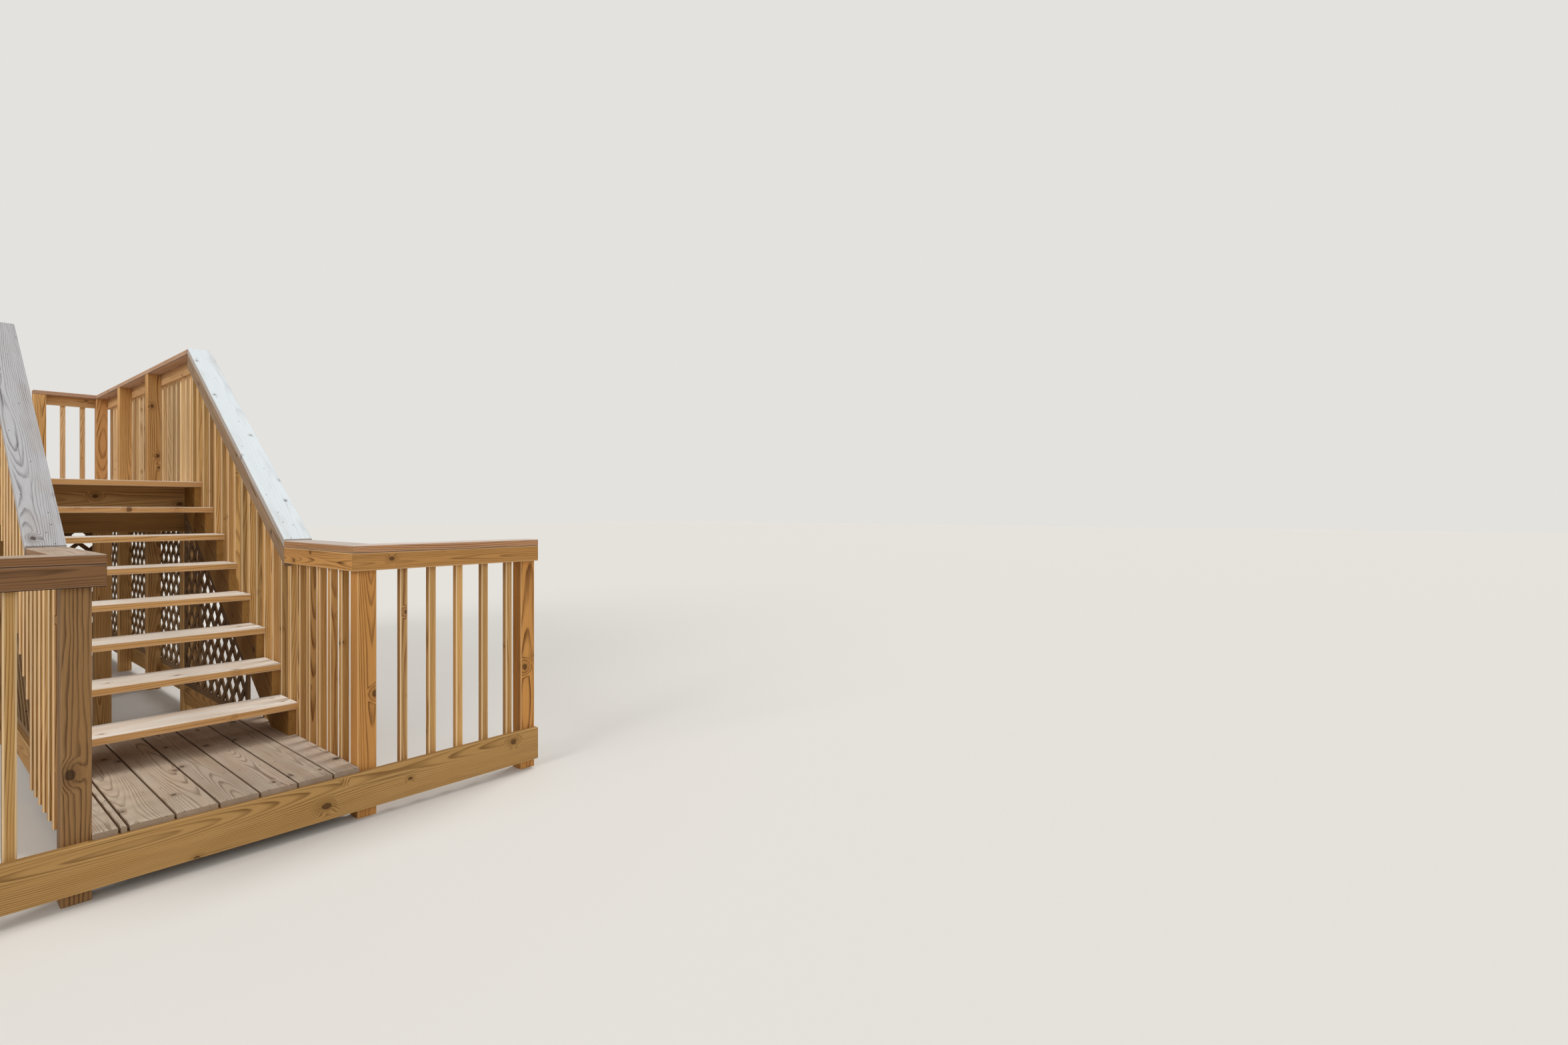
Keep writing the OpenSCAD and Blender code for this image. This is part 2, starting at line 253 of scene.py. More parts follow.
@dataclass
class PineShader(Nodes):
    """Cuts each board out of a trunk of its own and lets the weather at it.

    What the finishes have in common is a number here. Three numbers for a pattern say how often
    it repeats in a metre along, across and through the board, and two say between which of its
    values the change from none to all lies. Lengths are in metres.
    """

    finish: PineFinish
    # Boards are cut this many metres times their own numbers apart, so that no two look alike.
    apart: Triple = (53.0, 31.0, 17.0)
    # Fibres: streaks 110 mm long. Real ones are 0.05 mm wide, and these are 2.4 mm, to show.
    fibres: Triple = (9.0, 420.0, 420.0)
    fibre_shows: Span = (0.3, 0.72)
    fibre_dark: float = 0.22
    fibre_dip: float = 0.35
    # The rings wave over 800 mm along and 100 mm across the board.
    waves: Triple = (1.2, 10.0, 10.0)
    # The latewood ends at once, at this share of the ring.
    late_end: float = 0.9
    # Good and bad years follow each other about 40 mm apart. A bad one has little latewood.
    years: Triple = (1.6, 26.0, 26.0)
    year_shows: Span = (0.32, 0.66)
    bad_year: float = 0.25
    # The pith's place through the board and its sway along it, as shares of its distance.
    pith_least: float = 0.4
    pith_more: float = 1.2
    sway_across: float = 0.8
    sway_through: float = 1.2
    # Knots are drawn out along the board. Their lumps are 14 mm wide, and their rings 2.4 mm.
    knot_squash: float = 0.7
    knot_lumps: float = 70.0
    knot_lump: float = 3.0 * MM
    knot_ring: float = 2.4 * MM
    knot_tones: Span = (0.55, 0.95)
    # How many of its radii away a knot's own wood ends, and the wood that bends round it.
    knot_edge: Span = (0.75, 1.05)
    halo_edge: Span = (0.8, 3.6)
    halo_dark: float = 0.32
    knot_bend: float = 1.3
    knot_proud: float = 0.8
    # How far up a face looks: less than the first is a side, and more than the second a top.
    looks_up: Span = (0.25, 0.8)
    # The weather reaches some patches sooner, 400 mm long and 90 mm wide.
    patches: Triple = (2.4, 11.0, 11.0)
    patch_shows: Span = (0.3, 0.7)
    patch_wear: Span = (0.8, 1.25)
    # How much duller washed-out wood is than sound wood.
    weathered_dull: float = 0.22
    # What the darkest board, in painted shade and dirt, keeps of its brightness, and how much
    # boards differ in hue.
    dirtiest: float = 0.3
    hues: Span = (0.496, 0.502)
    # Edges are rubbed pale this far in, partly wear and partly painted highlight, and sawn ends
    # are dark.
    rubbed_and_lit: Span = (3 * MM, 7 * MM)
    sawn: Span = (0.5 * MM, 1.5 * MM)
    sawn_dark: float = 0.35
    # The narrow sloped strip along a board's edges, a little more than it measures. Where it
    # looks down it may hold a dark line of painted shade.
    arris: float = 3.5 * MM
    looks_down: Span = (-0.2, -0.6)
    # Drying checks: hairlines up to 750 mm long, 13 mm apart.
    checks: Triple = (1.3, 75.0, 75.0)
    check_shows: Span = (0.70, 0.76)

    def __post_init__(self) -> None:
        """Reads the board's own coordinates and numbers.

        The grain runs along, across and through the board in metres, the seed is three numbers
        from 0 to 1, the look is the wear of its top, its sides and its painted shade and dirt, and
        the place is the grain moved to where no other board is. What faces straight up counts as
        1, and what faces straight down as -1.
        """
        super().__post_init__()
        self.grain, self.seed, self.half, look = (
            self.add("Attribute", out="Vector", attribute_name=name)
            for name in ("grain", "seed", "half", "look")
        )
        self.top, self.side, self.dirt = self.add("SeparateXYZ", {0: look}).node.outputs
        self.place = self.vector("MULTIPLY_ADD", self.seed, self.apart, self.grain)
        self.faces_up = self.add("SeparateXYZ", {0: self.add("NewGeometry", out="Normal")}, "Z")

    def paint(self) -> None:
        """Adds the whole surface."""
        knot_marks, core, swell = self.knots()
        late = self.rings(swell)
        fibre = self.ramp(self.noise(self.fibres, detail=3.0), self.fibre_shows)
        weathered = self.weather()
        colour = self.colour(weathered, late, fibre)
        for amount, tone in knot_marks + self.edge_marks():
            colour = self.mix(amount, colour, linear(tone))
        self.surface(colour, weathered, late, fibre, core)

    def noise(self, repeats: Triple, detail: float, out: int | str = 0) -> Socket:
        """A cloudy pattern that repeats so often in a metre along, across and through."""
        drawn = self.vector("MULTIPLY", self.place, repeats)
        return self.add("TexNoise", {"Vector": drawn, "Scale": 1.0, "Detail": detail}, out)

    def ramp(self, value: Socket, between: Span, to: Span = WHOLE, **settings: object) -> Socket:
        """Turns a value that runs between two numbers into one that runs between two others.

        Args:
            value: The value.
            between: Where the change starts and where it ends.
            to: What it is before the start and after the end.
            settings: The node's own properties.

        Returns:
            The new value.
        """
        return self.add("MapRange", {
            "Value": value, "From Min": between[0], "From Max": between[1],
            "To Min": to[0], "To Max": to[1],
        }, **settings)

    def knots(self) -> tuple[list[Mark], Socket, Socket]:
        """Sets the board's large knot and scatters small ones, where branches left the trunk.

        Returns:
            Their marks, the knots' own wood and how far the rings swell there, in metres.
        """
        uneven = self.add("TexNoise", {
            "Vector": self.place, "Scale": self.knot_lumps, "Detail": 1.0,
        })
        ragged = self.scalar("MULTIPLY_ADD", uneven, 2 * self.knot_lump, -self.knot_lump)
        small, large = self.small_knots(ragged), self.large_knot(ragged)
        core, halo, swell = (self.scalar("MAXIMUM", small[i], large[i]) for i in range(3))
        nearer = self.scalar("MINIMUM", small[3], large[3])
        rings = self.scalar("MULTIPLY", nearer, 1 / self.knot_ring)
        rings = self.scalar("PINGPONG", rings, 1.0)
        inside = self.ramp(rings, WHOLE, self.knot_tones)
        inside = self.scalar("MULTIPLY", core, inside)
        # The wood round a knot is soaked with resin.
        soaked = self.scalar("MULTIPLY", halo, self.halo_dark)
        return [(soaked, self.finish.late), (inside, self.finish.knot)], core, swell

    def small_knots(self, ragged: Socket) -> tuple[Socket, ...]:
        """Scatters small knots, at most one in each cell of the board.

        Args:
            ragged: What their uneven outline adds to the distance, in metres.

        Returns:
            What knot() says of them.
        """
        add, pine = self.add, self.finish
        step = Vector((pine.knot_step_mm, pine.knot_across_mm, pine.knot_across_mm)) * MM
        cell = self.vector("MULTIPLY", self.place, tuple(1 / s for s in step))
        nearest = add("TexVoronoi", {"Vector": cell, "Scale": 1.0}, out="Position")
        luck = add("SeparateColor", {0: nearest.node.outputs["Color"]})
        gap = self.vector("SUBTRACT", cell, nearest)
        drawn = (step.x * self.knot_squash, step.y, step.z * pine.knot_depth)
        gap = self.vector("MULTIPLY", gap, drawn)
        present = self.scalar("GREATER_THAN", luck, 1.0 - pine.knot_share)
        missing = self.scalar("MULTIPLY_ADD", present, -NOWHERE_M, NOWHERE_M)
        missing = self.scalar("ADD", ragged, missing)
        radius = self.ramp(luck.node.outputs["Green"], WHOLE,
                           (pine.knot_small_mm * MM, pine.knot_large_mm * MM))
        return self.knot(gap, missing, radius)

    def large_knot(self, ragged: Socket) -> tuple[Socket, ...]:
        """Sets the board's large knot, if it has one.

        Args:
            ragged: What its uneven outline adds to the distance, in metres.

        Returns:
            What knot() says of it.
        """
        add = self.add
        spot = add("Attribute", out="Vector", attribute_name="knot_place")
        size = add("Attribute", out="Fac", attribute_name="knot_size")
        gap = self.vector("SUBTRACT", self.grain, spot)
        gap = self.vector("MULTIPLY", gap, (self.knot_squash, 1.0, 1.0))
        return self.knot(gap, ragged, size)

    def knot(self, gap: Socket, ragged: Socket, radius: Socket) -> tuple[Socket, ...]:
        """Shades one knot and the wood round it.

        Args:
            gap: The way from the knot's middle, in metres.
            ragged: What its uneven outline adds to that.
            radius: The knot's radius in metres.

        Returns:
            The knot's own wood, the wood that bends round it, how far the rings swell there and
            how far its middle is.
        """
        distance = self.vector("LENGTH", gap, out="Value")
        distance = self.scalar("ADD", distance, ragged)
        ratio = self.scalar("DIVIDE", distance, radius)
        core = self.ramp(ratio, self.knot_edge, FALLING, interpolation_type="SMOOTHSTEP")
        halo = self.ramp(ratio, self.halo_edge, FALLING, interpolation_type="SMOOTHERSTEP")
        swell = self.scalar("MULTIPLY", halo, radius)
        return core, halo, swell, distance

    def rings(self, swell: Socket) -> Socket:
        """Draws the rings of a trunk whose pith wanders along the board.

        Args:
            swell: How far the rings bend round a knot, in metres.

        Returns:
            How much hard dark latewood is at the place, from 0 to 1.
        """
        pine = self.finish
        far = pine.pith_mm * MM
        nearest = (0.0, pine.aside_mm * MM - far, self.pith_least * far)
        more = (0.0, 2 * far, self.pith_more * far)
        pith = self.vector("MULTIPLY_ADD", self.seed, more, nearest)
        drift = self.noise((pine.drift, 0.0, 0.0), detail=1.0, out="Color")
        sway = Vector((0.0, self.sway_across, self.sway_through)) * far * pine.wander
        drift = self.vector("MULTIPLY_ADD", drift, 2 * sway, -sway)
        flat = self.vector("MULTIPLY", self.grain, (0.0, 1.0, 1.0))
        arm = self.vector("ADD", flat, pith)
        arm = self.vector("ADD", arm, drift)
        radius = self.vector("LENGTH", arm, out="Value")
        waves = self.noise(self.waves, detail=4.0)
        for bend, reach in ((waves, pine.waver_mm * MM), (swell, self.knot_bend)):
            radius = self.scalar("MULTIPLY_ADD", bend, reach, radius)
        count = self.scalar("MULTIPLY", radius, 1 / (pine.ring_mm * MM))
        share = self.scalar("FRACT", count)
        rise = self.ramp(share, (pine.band, self.late_end), interpolation_type="SMOOTHSTEP")
        drop = self.ramp(share, (self.late_end, 1.0), FALLING)
        late = self.scalar("MULTIPLY", rise, drop)
        year = self.ramp(self.noise(self.years, detail=2.0), self.year_shows, (self.bad_year, 1.0))
        return self.scalar("MULTIPLY", late, year)

    def weather(self) -> Socket:
        """Lets the weather at the board, at the faces that look up first, and in patches.

        Returns:
            How weathered the place is, from 0 to 1.
        """
        up = self.ramp(self.faces_up, self.looks_up)
        amount = self.add("Mix", {"Factor": up, "A": self.side, "B": self.top})
        patch = self.ramp(self.noise(self.patches, detail=3.0), self.patch_shows, self.patch_wear)
        return self.scalar("MULTIPLY", amount, patch, use_clamp=True)

    def colour(self, weathered: Socket, late: Socket, fibre: Socket) -> Socket:
        """Colours the sound wood, greys what is weathered, gives each board a tone of its own and
        darkens it with painted shade and dirt.

        Args:
            weathered: How weathered the place is.
            late: The share of latewood.
            fibre: The streaks along the fibres.

        Returns:
            The colour.
        """
        pine = self.finish
        dark = self.scalar("MULTIPLY", late, pine.contrast)
        dark = self.scalar("MULTIPLY_ADD", fibre, self.fibre_dark, dark, use_clamp=True)
        fresh = self.mix(dark, linear(pine.early), linear(pine.late))
        old = self.mix(dark, linear(pine.grey), linear(pine.grey_late))
        colour = self.mix(weathered, fresh, old)
        own = self.add("SeparateXYZ", {0: self.seed}, out="Z")
        value = self.ramp(own, WHOLE, (1.0 - pine.spread, 1.0 + pine.spread))
        # Painted shade and dirt darken the board.
        dirt = self.ramp(self.dirt, WHOLE, (1.0, self.dirtiest))
        value = self.scalar("MULTIPLY", value, dirt)
        hue = self.ramp(own.node.outputs["X"], WHOLE, self.hues)
        return self.add("HueSaturation", {"Color": colour, "Value": value, "Hue": hue})

    def edge_marks(self) -> list[Mark]:
        """Rubs the long edges pale, partly as painted highlight, paints shade on the arris that
        looks down, darkens the sawn ends and opens fine drying checks.

        Returns:
            How much of each mark shows, and its colour.
        """
        pine = self.finish
        away = self.vector("ABSOLUTE", self.grain)
        inside = self.vector("SUBTRACT", self.half, away)
        along, across, through = self.add("SeparateXYZ", {0: inside}).node.outputs
        corner = self.scalar("ADD", across, through)
        # Pale long edges: rubbed wear and a painted highlight.
        rubbed_and_lit = self.ramp(corner, self.rubbed_and_lit, (pine.rub_and_highlight, 0.0))
        # A dark line of painted shade on the arris that looks down, as in the groove under a cap.
        under = self.ramp(self.faces_up, self.looks_down, (0.0, pine.seam))
        arris = self.scalar("LESS_THAN", corner, self.arris)
        under = self.scalar("MULTIPLY", under, arris)
        sawn = self.ramp(along, self.sawn, (self.sawn_dark, 0.0))
        checks = self.noise(self.checks, detail=1.0)
        split = self.ramp(checks, self.check_shows, (0.0, pine.check))
        return [(rubbed_and_lit, pine.grey), (under, pine.knot), (sawn, pine.knot), (split, pine.knot)]

    def surface(
        self, colour: Socket, weathered: Socket, late: Socket, fibre: Socket, core: Socket
    ) -> None:
        """Makes the dull surface, where latewood and knots stand proud of washed-out earlywood.

        Args:
            colour: The finished colour.
            weathered: How weathered the place is.
            late: The share of latewood.
            fibre: The streaks along the fibres.
            core: The knots' own wood.
        """
        add, pine = self.add, self.finish
        height = late
        for part, proud in ((fibre, -self.fibre_dip), (core, self.knot_proud)):
            height = self.scalar("MULTIPLY_ADD", part, proud, height)
        bump = add("Bump", {"Height": height, "Strength": 0.6, "Distance": pine.relief_mm * MM})
        dull = self.ramp(weathered, WHOLE, (pine.roughness, pine.roughness + self.weathered_dull))
        shader = add("BsdfPrincipled", {
            "Base Color": colour, "Roughness": dull, "Normal": bump, "IOR": 1.5,
            "Specular IOR Level": 0.15,
        })
        add("OutputMaterial", {"Surface": shader})


@dataclass(frozen=True)
class NailFinish:
    """Hot-dipped galvanised steel nail heads, dulled to a dark spot by rain and tannin."""

    name: str = "nail_steel_dulled"
    clean: str = "#6E6A66"
    stained: str = "#3A332E"
    fleck_mm: float = 3.0
    metallic: float = 0.7
    roughness: float = 0.55

    def build(self) -> bpy.types.Material:
        """Builds the finish, flecked so that no two heads look the same.

        Returns:
            Its material.
        """
        material = bpy.data.materials.new(self.name)
        nodes = Nodes(material)
        place = nodes.add("TexCoord", out="Object")
        fleck = nodes.add("TexNoise", {"Vector": place, "Scale": 1 / (self.fleck_mm * MM)})
        colour = nodes.mix(fleck, linear(self.clean), linear(self.stained))
        shader = nodes.add("BsdfPrincipled", {
            "Base Color": colour, "Metallic": self.metallic, "Roughness": self.roughness,
        })
        nodes.add("OutputMaterial", {"Surface": shader})
        return material


class Finish(Enum):
    """The finishes, each named for what wears it."""

    # Posts: planed faces with bold arches and a few large knots, in a golden brown.
    POST = PineFinish(
        "post_pine_planed", early="#C08843", late="#5F3814", knot="#382010", grey="#DBB27B",
        grey_late="#875D30", ring_mm=8.0, contrast=0.9, drift=0.7, rub_and_highlight=0.5, check=0.45,
        knot_step_mm=520, knot_across_mm=80, knot_depth=1.0, knot_share=0.3,
        knot_small_mm=7, knot_large_mm=14,
    )
    # The post at the left corner: straight dark streaks on wood that has begun to grey, darker
    # brown in part as painted shade.
    POST_STREAKED = PineFinish(
        "post_pine_streaked", early="#98703F", late="#472D16", knot="#2A190D", grey="#977A58",
        grey_late="#4A3523", ring_mm=12, pith_mm=40, aside_mm=110, wander=0.6, waver_mm=60,
        knot_step_mm=600, knot_across_mm=80, knot_depth=1.0, knot_share=0.15,
        knot_large_mm=10, check=0.8,
    )
    # Balusters: narrow sticks in the warmest colour, with small round knots.
    BALUSTER = PineFinish(
        "baluster_pine_planed", early="#CF9E5A", late="#7A4A1E", knot="#432611",
        grey="#EACEA4", grey_late="#AF864F", ring_mm=6.0, band=0.35, contrast=0.9,
        spread=0.3, rub_and_highlight=0.75, knot_step_mm=360, knot_across_mm=48, knot_depth=1.0,
        knot_share=0.35, knot_small_mm=4, knot_large_mm=9,
    )
    # Sub-rails: the same stock on its flat side, so the grain arches.
    RAIL = PineFinish(
        "rail_pine_planed", early="#BF8A46", late="#6C441B", knot="#3C2210", grey="#DFB988",
        grey_late="#977044", band=0.35, pith_mm=50, contrast=0.9, rub_and_highlight=0.5, check=0.6,
    )
    # Level caps: brown sides under a pale top, bleached by the sun and partly painted sunlight.
    CAP = PineFinish(
        "cap_pine_bleached", early="#B68048", late="#69411F", knot="#463022",
        grey="#D8CCC2", grey_late="#A59589", contrast=0.85, rub_and_highlight=0.3, seam=0.9, roughness=0.7,
    )
    # Level cap and sub-rail at the left, in a dark reddish brown that is painted shade.
    SHADED = PineFinish(
        "rail_pine_shaded", early="#8A5F37", late="#4E3219", knot="#2E1A0E", grey="#C9B8A6",
        grey_late="#8F7C68", ring_mm=7.0, spread=0.08, waver_mm=24, rub_and_highlight=0.15, seam=0.9,
        check=0.6,
    )
    # Sloped sub-rails: brown-grey, as the sides of the sloped caps.
    RAIL_GREYED = PineFinish(
        "rail_pine_greyed", early="#9C7852", late="#5E432B", knot="#38261A", grey="#AA9780",
        grey_late="#6E5D4C", band=0.35, pith_mm=50, contrast=0.9, rub_and_highlight=0.4, waver_mm=20,
        knot_share=0.2, knot_large_mm=11, check=0.8,
    )
    # The left sloped cap: silver grey, with raised darker grain. Against the right cap, its
    # darker grey is painted shade on the same weathered wood.
    CAP_GREYED = PineFinish(
        "cap_pine_greyed_shaded", early="#9B8873", late="#665748", knot="#3A2E29", grey="#C3C2C3",
        grey_late="#7D797B", pith_mm=55, contrast=0.9, spread=0.02, drift=0.8, waver_mm=26,
        knot_share=0.08, knot_small_mm=5, knot_large_mm=9, check=0.6, seam=0.9,
        roughness=0.72,
    )
    # The right sloped cap: the same weathered grey wood, painted almost white as sunlight, so
    # that little of its grain shows.
    CAP_BLEACHED = PineFinish(
        "cap_pine_whitened_sunlit", early="#93795F", late="#655040", knot="#6E6A6C", grey="#DDE3E5",
        grey_late="#C6CDD1", ring_mm=9.0, band=0.5, waver_mm=22, contrast=0.45, spread=0.02,
        knot_small_mm=4, knot_large_mm=8, seam=0.9, check=0.35, roughness=0.72,
    )
    # Treads: flat-sawn, with a tan front edge, pale on top from feet and weather and partly
    # painted sunlight.
    TREAD = PineFinish(
        "tread_pine_trodden", early="#D6A565", late="#9A6A35", knot="#5A3A20",
        grey="#F1EAE0", grey_late="#D2C4AE", ring_mm=5.5, band=0.45, contrast=0.75,
        spread=0.06, rub_and_highlight=0.2, knot_share=0.2, knot_small_mm=5, knot_large_mm=11,
        check=0.35, roughness=0.68,
    )
    # Deck boards: flat-sawn, with long arches and smoky knots under a beige-grey bloom.
    DECK = PineFinish(
        "deck_pine_weathered", early="#B79776", late="#775C44", knot="#48382C",
        grey="#C6B8A6", grey_late="#877461", ring_mm=5.5, band=0.5, pith_mm=48, drift=0.6,
        contrast=0.85, spread=0.1, knot_step_mm=420, knot_share=0.22, knot_small_mm=7,
        knot_large_mm=18, check=0.3, roughness=0.68,
    )
    # Frame: rough-sawn rims, joists and stringers, darkened with painted shade where they stand
    # in shade.
    FRAME = PineFinish(
        "frame_pine_sawn", early="#B68645", late="#6A451D", knot="#3B2310", grey="#C9A46D",
        grey_late="#846339", ring_mm=7.0, band=0.35, pith_mm=75, knot_step_mm=480,
        knot_share=0.3, knot_small_mm=7, knot_large_mm=18, relief_mm=0.8,
    )
    # Lattice: thin sawn slats that have gone dark, too narrow to hold a knot.
    LATTICE = PineFinish(
        "lattice_pine_sawn", early="#8A663D", late="#573D22", knot="#352415", grey="#8A7358",
        grey_late="#5B4833", ring_mm=7.0, band=0.45, knot_share=0.1, knot_small_mm=3,
        knot_large_mm=6, check=0.2,
    )
    # Nail heads: dull dark spots along the boards.
    NAIL = NailFinish()


@dataclass(frozen=True)
class Lay:
    """How the wood lies in a board: its axes along, across and through, each either way round."""

    order: list[int]
    flip: list[int]

    def of(self, away: Vector) -> Vector:
        """Turns a way in the board's frame into one along, across and through the wood."""
        return Vector(self.flip[n] * away[i] for n, i in enumerate(self.order))


@dataclass
class Board:
    """One solid of a CAD node, in a frame that is turned to suit its grain."""

    faces: list[bmesh.types.BMFace]
    turn: Matrix
    low: Vector
    high: Vector
    slack: float = 3 * MM

    @property
    def centre(self) -> Vector:
        """The board's middle in its turned frame."""
        return (self.low + self.high) / 2

    @property
    def half(self) -> Vector:
        """Half of its size along each axis of its turned frame."""
        return (self.high - self.low) / 2

    @property
    def side(self) -> int:
        """0 if the board is on the left of the stair, and 1 if it is on the right."""
        return 0 if (self.turn.inverted() @ self.centre).x < 0 else 1

    def holds(self, place: Vector) -> bool:
        """Whether a place in the turned frame lies in the board, or barely off its face."""
        return all(abs(place[i] - self.centre[i]) < self.half[i] + self.slack for i in range(3))

    def axes(self, grain: Grain) -> list[int]:
        """Finds which axes run along, across and through the wood.

        Args:
            grain: The way that the board runs.

        Returns:
            The axes' numbers in that order.
        """
        order = sorted(range(3), key=lambda i: -self.half[i])
        if grain is Grain.SLOPED:
            order = [1, *[i for i in order if i != 1]]
        return order

    def large_knot(self, knots: tuple[Knot, ...], lay: Lay) -> tuple[Vector, float]:
        """Finds the large knot that the board holds.

        Args:
            knots: Large knots, of which it holds one at most.
            lay: How its wood lies.

        Returns:
            The knot's place, along, across and through the wood from the board's middle, and its
            radius. For a board without one, a place far off.
        """
        for knot in knots:
            place = self.turn @ Vector((knot.x, knot.y, knot.z))
            if self.holds(place):
                return lay.of(place - self.centre), knot.radius
        return Vector((NOWHERE_M, NOWHERE_M, NOWHERE_M)), MM


def islands(bm: bmesh.types.BMesh) -> list[list[bmesh.types.BMFace]]:
    """Finds the separate solids of a mesh.

    Args:
        bm: The mesh, with its doubled corners welded.

    Returns:
        The faces of each solid.
    """
    left = set(bm.faces)
    found = []
    for face in bm.faces:
        if face not in left:
            continue
        left.discard(face)
        group, queue = [], [face]
        while queue:
            at = queue.pop()
            group.append(at)
            for edge in at.edges:
                for other in edge.link_faces:
                    if other in left:
                        left.discard(other)
                        queue.append(other)
        found.append(group)
    return found


def flight_pitch() -> float:
    """The flight's angle, from the places of its lowest and highest treads."""
    first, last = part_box("tread_1")[0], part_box("tread_7")[0]
    return math.atan2(last.z - first.z, last.y - first.y)


@dataclass
class Carpentry:
    """What every sub-assembly shares: dressing its nodes as boards and nailing them."""

    finishes: dict[Finish, bpy.types.Material]
    nail_radius: float = 4.0 * MM
    nail_taper: float = 0.8
    nail_height: float = 0.8 * MM
    nail_sides: int = 8
    slat_angle_deg: float = 45.0

    def turned(self, grain: Grain) -> Matrix:
        """The turn that brings a board's length onto one axis."""
        return Matrix.Rotation(-flight_pitch() if grain is Grain.SLOPED else 0.0, 3, "X")

    def slat_turn(self, board: Board, face: bmesh.types.BMFace, order: list[int]) -> Matrix:
        """The turn for a face of a lattice, whose inner and outer slats cross at right angles.

        Args:
            board: The lattice panel.
            face: One of its faces.
            order: The panel's axes, the one through its thickness last.

        Returns:
            The turn that brings the length of that layer's slats onto one axis.
        """
        through = order[2]
        depth = face.calc_center_median()[through] - board.centre[through]
        outer = depth * board.centre[through] > 0
        angle = -self.slat_angle_deg if outer else self.slat_angle_deg
        return Matrix.Rotation(math.radians(angle), 3, "XYZ"[through])

    def read(
        self, node: str, grain: Grain = Grain.LONGEST
    ) -> tuple[bmesh.types.BMesh, list[Board]]:
        """Copies a CAD node's mesh and finds its boards.

        Args:
            node: The node's name.
            grain: The way that its boards run.

        Returns:
            The welded mesh and its boards.
        """
        bm = bmesh.new()
        bm.from_mesh(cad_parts[node].data)
        bmesh.ops.remove_doubles(bm, verts=bm.verts, dist=WELD_M)
        flat = math.radians(FLAT_DEG)
        bmesh.ops.dissolve_limit(bm, angle_limit=flat, verts=bm.verts, edges=bm.edges)
        turn = self.turned(grain)
        boards = []
        for faces in islands(bm):
            places = [turn @ v.co for f in faces for v in f.verts]
            low = Vector(min(p[i] for p in places) for i in range(3))
            high = Vector(max(p[i] for p in places) for i in range(3))
            boards.append(Board(faces, turn, low, high))
        return bm, boards

    def boards(self, node: str, grain: Grain = Grain.LONGEST) -> list[Board]:
        """Finds a node's boards, of which only the places and sizes are wanted.

        Args:
            node: The node's name.
            grain: The way that its boards run.

        Returns:
            Its boards.
        """
        bm, boards = self.read(node, grain)
        bm.free()
        return boards

    def dress(
        self,
        node: str,
        finish: Finish | tuple[Finish, Finish],
        slot: str,
        wear: Wear | tuple[Wear, Wear],
        grain: Grain = Grain.LONGEST,
        knots: tuple[Knot, ...] = (),
    ) -> None:
        """Makes the dressed piece that stands for a CAD node.

        Args:
            node: The node's name.
            finish: Its finish, or one for its boards at the left and one for those at the right.
            slot: The name of a material slot; not used.
            wear: What the weather did to it, or to its boards at the left and at the right.
            grain: The way that its boards run.
            knots: Large knots, at most one for each board.
        """
        bm, boards = self.read(node, grain)
        names = ("grain", "seed", "half", "look", "knot_place")
        layers = [bm.loops.layers.float_vector.new(n) for n in names]
        size = bm.loops.layers.float.new("knot_size")
        finishes = [finish] if isinstance(finish, Finish) else list(finish)
        luck = random.Random(node)
        for board in boards:
            order = board.axes(grain)
            seed = Vector(luck.random() for _ in range(3))
            lay = Lay(order, [luck.choice((-1, 1)) for _ in range(3)])
            worn = wear if isinstance(wear, Wear) else wear[board.side]
            look = Vector((worn.top, worn.side, worn.dirt))
            half = Vector(board.half[i] for i in order)
            spot, radius = board.large_knot(knots, lay)
            for face in board.faces:
                face.material_index = min(board.side, len(finishes) - 1)
                slanted = grain is Grain.SLANTED
                turn = self.slat_turn(board, face, order) if slanted else board.turn
                middle = turn @ board.turn.inverted() @ board.centre
                for loop in face.loops:
                    along = lay.of(turn @ loop.vert.co - middle)
                    for layer, value in zip(layers, (along, seed, half, look, spot)):
                        loop[layer] = value
                    loop[size] = radius
        piece = self.assemble("timber_" + node, bm, finishes)
        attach(piece, BODY)
        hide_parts(node)
        LOG.info("%s: %d boards", piece.name, len(boards))

    def assemble(
        self, name: str, bm: bmesh.types.BMesh, finishes: list[Finish]
    ) -> bpy.types.Object:
        """Makes an object of a mesh that is ready.

        Args:
            name: The object's name.
            bm: The mesh, which is freed.
            finishes: Its finishes, in the order of its faces' numbers.

        Returns:
            The object.
        """
        mesh = bpy.data.meshes.new(name)
        bm.to_mesh(mesh)
        bm.free()
        for finish in finishes:
            mesh.materials.append(self.finishes[finish])
        return put(name, mesh)

    def nail(self, name: str, heads: list[Head], slot: str) -> None:
        """Drives nails flush into the boards, so that only their heads show.

        Args:
            name: The piece's name.
            heads: Their heads.
            slot: The material slot of the boards that they hold; not used.
        """
        bm = bmesh.new()
        for head in heads:
            turn = head.facing.to_track_quat("Z", "Y").to_matrix().to_4x4()
            bmesh.ops.create_cone(
                bm, cap_ends=True, segments=self.nail_sides, radius1=self.nail_radius,
                radius2=self.nail_radius * self.nail_taper, depth=self.nail_height,
                matrix=Matrix.Translation(head.place) @ turn,
            )
        piece = self.assemble(name, bm, [Finish.NAIL])
        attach(piece, BODY)
        LOG.info("%s: %d heads", piece.name, len(heads))


